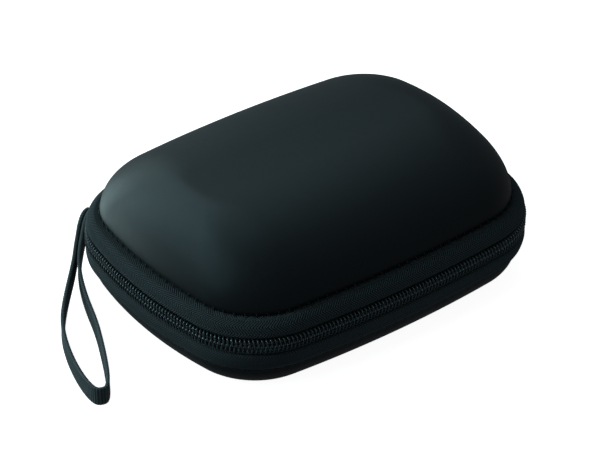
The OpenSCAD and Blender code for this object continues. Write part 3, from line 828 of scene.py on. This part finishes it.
def strap_tack():
    """Dense thread bars sewn through both strands beside the anchor."""
    lines = []
    for side in (-1, 1):
        for t in np.linspace(0.07, 0.16, 9):
            p, across = strap_strand(side, np.array([t]))
            face = p[0, :2] + side * across[0] * (WEB_T / 2 + 0.04)
            z = p[0, 2] + np.linspace(-2.2, 2.2, 9)
            bow = 0.1 * (1 - (np.linspace(-1, 1, 9)) ** 6)
            lines.append(np.column_stack([face + side * across[0] * bow[:, None], z]))
    return dress(tubes("strap_bar_tack_thread", lines, [0.17] * len(lines), 6), "strap", THREAD, "thread",
                 "strap_bar_tack")


def strap_anchor():
    """A short piece of webbing folded round on itself and sewn into the back seam."""
    reach = STRAP_OUT - 0.65
    angle = np.radians(np.linspace(-90, 90, 13))
    nose = np.stack([0.62 * np.cos(angle), 0.62 * np.sin(angle)], 1)
    path = np.concatenate([[[-reach, -0.62]], nose, [[-reach, 0.62]]])
    out = np.array([-math.cos(STRAP_ANGLE), math.sin(STRAP_ANGLE)])
    side = np.array([-out[1], out[0]])
    xy = STRAP_PIVOT + path[:, :1] * out + path[:, 1:] * side
    line, run = resampled(at_height(xy, STRAP_Z), 0.15)
    return dress(webbing("strap_anchor_webbing", line, run, WEB_W, 1.0), "base", WEBBING, "webbing",
                 "strap_anchor")


# ---- soft sheets

def grid_normals(grid, wrap):
    """Unit normals of a grid of points."""
    if wrap:
        along = np.roll(grid, -1, 1) - np.roll(grid, 1, 1)
    else:
        along = np.gradient(grid, axis=1)
    n = np.cross(np.gradient(grid, axis=0), along)
    return n / (np.linalg.norm(n, axis=2)[:, :, None] + 1e-9)


def settle(grid, wrap, held, pressure, loose, cap):
    """Runs a sheet of points as cloth, and returns it with no point moved more than cap mm.
    held marks the sewn points, and loose is how much longer the cloth is than its frame."""
    m, n = grid.shape[:2]
    sheet = mesh_object("cloth", grid.reshape(-1, 3), grid_faces(m, n, False, wrap))
    group = sheet.vertex_groups.new(name="sewn")
    group.add(np.flatnonzero(held.ravel()).tolist(), 1.0, "REPLACE")
    cloth = sheet.modifiers.new("cloth", "CLOTH")
    settings = cloth.settings
    settings.vertex_group_mass = "sewn"
    settings.quality = 5
    settings.mass = 0.15
    settings.tension_stiffness = 5.0
    settings.compression_stiffness = 5.0
    settings.bending_stiffness = 0.05
    settings.shrink_min = -loose
    settings.use_pressure = True
    settings.uniform_pressure_force = pressure
    settings.effector_weights.gravity = 0.0
    cloth.point_cache.frame_start = 1
    cloth.point_cache.frame_end = CLOTH_FRAMES
    scene = bpy.context.scene
    for number in range(1, CLOTH_FRAMES + 1):
        scene.frame_set(number)
    moved = sheet.evaluated_get(bpy.context.evaluated_depsgraph_get()).data
    out = np.zeros(m * n * 3)
    moved.vertices.foreach_get("co", out)
    scene.frame_set(1)
    bpy.data.objects.remove(sheet)
    step = out.reshape(m, n, 3) / MM - grid
    far = np.linalg.norm(step, axis=2)[:, :, None]
    return grid + step * np.minimum(1, cap / np.maximum(far, 1e-9))


def thick_sheet(name, grid, wrap, thickness, flip):
    """A closed solid: a sheet and the same sheet moved along its normals. A wrapped sheet's last ring
    is closed with a flat face on each side."""
    m, n = grid.shape[:2]
    size = m * n
    other = grid + flip * thickness * grid_normals(grid, wrap)
    faces = grid_faces(m, n, False, wrap)
    faces += [f[::-1] for f in grid_faces(m, n, False, wrap, size)]
    first = list(range(n))
    last = [v + size - n for v in first]
    if wrap:
        borders = [first + first[:1]]
        caps = [last, [v + size for v in last[::-1]]]
    else:
        left, right = [i * n for i in range(m)], [i * n + n - 1 for i in range(m)]
        borders = [first, last[::-1], right, left[::-1]]
        caps = []
    for border in borders:
        faces += [[b, a, a + size, b + size] for a, b in zip(border, border[1:])]
    faces += caps
    uv = np.stack([np.tile(run_length(grid[m // 2]), m), np.repeat(run_length(grid[:, n // 2]), n)], 1)
    points = np.concatenate([grid.reshape(-1, 3), other.reshape(-1, 3)])
    return mesh_object(name, points, faces, np.concatenate([uv, uv]))


def wrinkles(grid, size, depth):
    """Soft uneven waves, the same on every run."""
    phase = np.array([[1.0, 0.37, 0.11], [-0.52, 0.91, 0.23], [0.31, -0.77, 0.64], [0.83, 0.58, -0.45]])
    total = np.zeros(grid.shape[:2])
    for k, direction in enumerate(phase):
        total += np.sin(2 * np.pi * (grid @ direction) / (size * (1 + 0.37 * k)) + 1.7 * k)
    return depth * total / len(phase)


def lining(name, body, rings, node, pressure, flip):
    """A lining cloth: held at its rim and floor, eased into soft creases between by the cloth solver."""
    grid = np.array(rings)
    held = np.zeros(grid.shape[:2], bool)
    held[:2] = True
    held[-1] = True
    eased = settle(grid, True, held, pressure, 0.01, 0.35)
    quiet = smoothstep(np.arange(len(grid)) / 5.0)[:, None]
    eased += grid_normals(grid, True) * (wrinkles(grid, 11.0, 0.16) * quiet)[:, :, None]
    return dress(thick_sheet(name, eased, True, LINING_T * 0.8, flip), body, LINING, "lining", node)


def lid_lining():
    taus = (0, 4, 8, 13, 19, 26, 34, 42, 50, 58, 66, 74, 82, 90)
    rings = [lid_ring(tau, lining_in(tau), MEDIUM)[0] for tau in taus]
    rings += [lid_top(share, lining_in(90), MEDIUM) for share in (0.85, 0.7, 0.55, 0.4, 0.25, 0.1)]
    return lining("lid_lining_cloth", "lid", rings, "lid_lining", -0.4, -1)


def base_lining():
    taus = (0, 10, 20, 30, 40, 50, 60, 70, 80, 90)
    rings = [base_ring(tau, lining_in(tau), MEDIUM) for tau in taus]
    rings += [rings[-1] * [share, share, 1] for share in (0.93, 0.85, 0.75, 0.63, 0.5, 0.37, 0.24, 0.1)]
    return lining("base_lining_cloth", "base", rings, "base_lining", 0.4, 1)


def foam(name, body, outer, inner, node):
    """Moulded foam, pressed thin at its rim."""
    return dress(loft(name, inner[::-1] + outer), body, FOAM, "foam", node)


def lid_foam():
    taus = (0, 3, 6, 10, 15, 20, 30, 40, 50, 60, 70, 80, 90)
    outer = [lid_ring(tau, COVER_T + GAP, MEDIUM)[0] for tau in taus]
    inner = [lid_ring(tau, foam_in(tau), MEDIUM)[0] for tau in taus]
    outer += [lid_top(share, COVER_T + GAP, MEDIUM) for share in (0.6, 0.1)]
    inner += [lid_top(share, foam_in(90), MEDIUM) for share in (0.6, 0.1)]
    return foam("lid_foam_shell", "lid", outer, inner, "lid_foam")


def base_foam():
    taus = (0, 6, 12, 20, 30, 40, 50, 60, 70, 80, 90)
    outer = [base_ring(tau, COVER_T + GAP, MEDIUM) for tau in taus]
    inner = [base_ring(tau, foam_in(tau), MEDIUM) for tau in taus]
    return foam("base_foam_shell", "base", outer, inner, "base_foam")


def binding(name, body, track, middle, node):
    """A rounded ribbed tape sewn over the rim of the lining. middle is its (offset, height)."""
    t = np.linspace(0, 2 * np.pi, 17)[:-1]
    profile = np.array(middle) + np.stack([0.42 * np.cos(t), 1.5 * np.sin(t)], 1)
    return dress(ring_band(name, track, profile, 0.5), body, BINDING, "binding", node)


def rib_waves(grid, lengths, pitch, depth):
    """Ribs across a panel, fading out at its sewn edges."""
    rise = np.linspace(0, 1, grid.shape[0])
    fade = np.clip(np.minimum(rise, 1 - rise) * 8, 0, 1)
    return depth * np.sin(2 * np.pi * lengths / pitch)[None] * fade[:, None]


def panel(name, profile, thickness, material, slot, node, pressure, flip):
    """A flexible panel across the back, held at its two sewn edges and eased by the cloth solver."""
    half = back_length(HINGE_HALF)
    lengths = np.linspace(-half, half, 121)
    face = curve_through(profile, 0.6)
    grid = band_grid(ZIP, lengths, face).transpose(1, 0, 2)
    held = np.zeros(grid.shape[:2], bool)
    held[:2] = True
    held[-2:] = True
    grid = settle(grid, False, held, pressure, 0.02, 0.5)
    grid += grid_normals(grid, False) * rib_waves(grid, lengths, 1.6, 0.09)[:, :, None]
    piece = thick_sheet(name, grid, False, thickness, flip)
    dress(piece, None, material, slot, node)
    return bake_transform(piece)


def hinge_panel():
    profile = [(-1.9, 8.2), (-1.0, 8.7), (-0.2, 9.8), (0.2, 11.4), (0.35, 14), (0.4, 17), (0.3, 20),
               (-0.1, 22), (-1.3, 23.4), (-2.6, 24.1), (-3.9, 24.4)]
    return panel("hinge_panel_fabric", profile, 0.9, BINDING, "binding", "hinge_panel", 0.5, 1)


def hinge_lining():
    profile = [(-4.0, 8.6), (-3.7, 10.5), (-3.4, 14), (-3.4, 17), (-3.7, 19.5), (-4.6, 21.8),
               (-6.2, 24.0)]
    return panel("hinge_lining_cloth", profile, 0.5, LINING, "lining", "hinge_lining", 0.2, -1)


def pocket_net():
    """A net of knotted yarn, sagging a little between its sewn sides and its elastic hem."""
    nx, ny = 37, 17
    x = np.linspace(-POCKET_X + 0.4, POCKET_X - 0.4, nx)
    y = np.linspace(POCKET_FRONT + 0.3, POCKET_BACK - 0.3, ny)
    gx, gy = np.meshgrid(x, y)
    sheet = np.stack([gx, gy, np.full(gx.shape, POCKET_Z)], 2)
    held = np.zeros(gx.shape, bool)
    held[0], held[-1], held[:, 0], held[:, -1] = True, True, True, True
    sag = settle(sheet, False, held, -1.5, 0.02, 0.45)[:, :, 2]
    lines = []
    pitch = NET_CELL * 0.87
    for row in range(int((POCKET_BACK - POCKET_FRONT) / pitch) + 1):
        v = POCKET_FRONT + 0.4 + row * pitch
        count = int(4 * POCKET_X / NET_CELL)
        u = -POCKET_X + 0.5 + np.arange(count) * NET_CELL / 2
        zigzag = NET_CELL * 0.29 * (1 - 2 * ((np.arange(count) + row) % 2))
        line = np.stack([u, v + zigzag * 0.9], 1)
        inside = (np.abs(line[:, 0]) < POCKET_X - 0.5) & (line[:, 1] < POCKET_BACK - 0.3)
        line = line[inside & (line[:, 1] > POCKET_FRONT)]
        line = line[rounded_inside(line)]
        if len(line) > 3:
            lines.append(np.column_stack([line, sampled(sag, x, y, line)]))
    return dress(tubes("pocket_net", lines, [0.17] * len(lines), 5), "lid", NET, "net", "mesh_pocket")


def rounded_inside(line):
    """Whether points lie inside the pocket's rounded back corners."""
    dx = np.maximum(0, np.abs(line[:, 0]) - (POCKET_X - POCKET_R))
    dy = np.maximum(0, line[:, 1] - (POCKET_BACK - POCKET_R))
    return np.hypot(dx, dy) < POCKET_R - 0.2


def sampled(field, x, y, line):
    """A field on the grid x, y read at points."""
    fx = np.interp(line[:, 0], x, np.arange(len(x)))
    fy = np.interp(line[:, 1], y, np.arange(len(y)))
    i, j = np.minimum(fx.astype(int), len(x) - 2), np.minimum(fy.astype(int), len(y) - 2)
    a, b = fx - i, fy - j
    return ((field[j, i] * (1 - a) + field[j, i + 1] * a) * (1 - b)
            + (field[j + 1, i] * (1 - a) + field[j + 1, i + 1] * a) * b)


def pocket_elastic():
    """The elastic hem: a soft gathered tube."""
    x = np.linspace(-POCKET_X, POCKET_X, 361)
    t = np.linspace(0, 2 * np.pi, 25)[:-1]
    gather = 1 + 0.09 * np.sin(2 * np.pi * x / 1.5) + 0.04 * np.sin(2 * np.pi * x / 4.1)
    ring_y = POCKET_FRONT - 0.76 + 0.62 * np.cos(t)[None] * gather[:, None]
    ring_z = POCKET_Z + 0.05 + 1.32 * np.sin(t)[None] * gather[:, None]
    grid = np.stack([np.broadcast_to(x[:, None], ring_y.shape), ring_y, ring_z], 2)
    uv = np.stack([np.repeat(x, len(t)), np.tile(t * 1.2, len(x))], 1)
    return dress(capped_band("pocket_elastic_hem", grid, uv), "lid", ELASTIC, "elastic", "pocket_elastic")


def soften_metal(node):
    """Gives a CAD node of the zip's hardware its enamel and slightly rounded edges."""
    node.data.materials.clear()
    node.data.materials.append(METAL)
    edge = node.modifiers.new("soft_edges", "BEVEL")
    edge.width = 0.14 * MM
    edge.segments = 2
    edge.limit_method = "ANGLE"


# ---- the case

lid_shell()
base_shell()
lid_stitches()
base_stitches()

# The pieces that the two fill lights reach
filled = [
    upper_tape(),
    lower_tape(),
    coil("upper_coil_filament", "lid", 1, "upper_zip_coil"),
    coil("lower_coil_filament", "base", -1, "lower_zip_coil"),
    coil_stitching("upper_coil_thread", "lid", 1),
    coil_stitching("lower_coil_thread", "base", -1),
    wrist_strap(),
]
strap_tack()
strap_anchor()
hinge_panel()
hinge_lining()
lid_foam()
base_foam()
lid_lining()
base_lining()
binding("lid_rim_binding", "lid", LID_SEAM, (-lining_in(0) - 0.5, LID_SEAM_Z + 1.5), "lid_binding")
binding("base_rim_binding", "base", ZIP, (-BASE_INSET - lining_in(0) - 0.5, BASE_H - 1.3), "base_binding")
pocket_net()
pocket_elastic()

for name in ("slider_body", "slider_crown", "pull_tab", "upper_end_stops", "lower_end_stops"):
    soften_metal(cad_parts[name])


# ---- studio

def floor():
    """A plain pale floor that glows a little, so that it stays white up to the case's faint shadow."""
    mesh = bpy.data.meshes.new("studio_floor")
    r = FLOOR_HALF
    mesh.from_pydata([(-r, -r, 0), (r, -r, 0), (r, r, 0), (-r, r, 0)], [], [(0, 1, 2, 3)])
    obj = add_object("studio_floor", mesh)
    s = Shader("pale_floor")
    s.put(s.bsdf.inputs["Emission Color"], WHITE)
    s.put(s.bsdf.inputs["Emission Strength"], FLOOR_GLOW)
    mesh.materials.append(s.surface((0.9, 0.9, 0.9), 0.9, specular=0.0, tint=WHITE))
    obj.visible_glossy = False
    obj.visible_diffuse = False
    obj.visible_shadow = False


def softbox(name, direction, distance, size, power):
    """A square soft light that faces the case from a direction. Distance and size are metres."""
    light = bpy.data.lights.new(name, "AREA")
    light.shape = "SQUARE"
    light.size = size
    light.energy = power
    light.color = LAMP_COLOR
    obj = add_object(name, light)
    d = Vector(direction).normalized()
    obj.location = d * distance
    obj.rotation_euler = d.to_track_quat("Z", "Y").to_euler()
    return obj


def surroundings(above, below, seen):
    """A plain white room: seen is its strength to the camera, above and below its strength as a light."""
    world = bpy.data.worlds.new("studio")
    bpy.context.scene.world = world
    world.use_nodes = True
    tree = world.node_tree
    tree.nodes.clear()
    kinds = ("OutputWorld", "Background", "TexCoord", "SeparateXYZ", "MapRange", "LightPath", "Mix")
    output, back, where, parts, ramp, path, pick = (tree.nodes.new("ShaderNode" + kind) for kind in kinds)
    for key, value in {"From Min": -0.15, "From Max": 0.6, "To Min": below, "To Max": above}.items():
        ramp.inputs[key].default_value = value
    pick.inputs[3].default_value = seen
    link = tree.links.new
    link(where.outputs["Generated"], parts.inputs[0])
    link(parts.outputs[2], ramp.inputs[0])
    link(ramp.outputs[0], pick.inputs[2])
    link(path.outputs["Is Camera Ray"], pick.inputs[0])
    link(pick.outputs[0], back.inputs["Strength"])
    link(back.outputs[0], output.inputs[0])


def camera():
    """The camera, at the height and turn that the case is seen from."""
    around, up, roll = (math.radians(angle) for angle in (CAMERA_AROUND, CAMERA_UP, CAMERA_ROLL))
    back = Vector((math.sin(around) * math.cos(up), -math.cos(around) * math.cos(up), math.sin(up)))
    right = Vector((math.cos(around), math.sin(around), 0))
    top = back.cross(right)
    x = right * math.cos(roll) + top * math.sin(roll)
    y = top * math.cos(roll) - right * math.sin(roll)
    data = bpy.data.cameras.new("studio_camera")
    data.sensor_width = 36.0
    data.lens = CAMERA_LENS
    obj = add_object("studio_camera", data)
    turned = Matrix((x, y, back)).transposed().to_4x4()
    obj.matrix_world = Matrix.Translation(Vector(CAMERA_PLACE) * MM) @ turned
    bpy.context.scene.camera = obj


floor()
softbox("back_high", (-0.2, 1.0, 0.8), 0.8, 0.9, 3.2)
softbox("left_high", (-0.95, 0.42, 0.75), 0.8, 0.9, 2.3)
softbox("above", (0.15, 0.35, 1.0), 0.8, 0.6, 0.5)
softbox("low_back", (-0.35, 1.0, -0.12), 0.8, 0.6, 2.3)
fills = [softbox("end_fill", (-1.0, 0.35, 0.45), 0.9, 0.2, 3.4),
         softbox("front_fill", (0.35, -1.0, 0.05), 0.9, 0.4, 1.2)]
zip_and_strap = bpy.data.collections.new("zip_and_strap")
for obj in filled:
    zip_and_strap.objects.link(obj)
for fill in fills:
    fill.light_linking.receiver_collection = zip_and_strap
surroundings(0.13, 0.11, 1.25)
camera()
bpy.context.scene.view_settings.view_transform = "Standard"
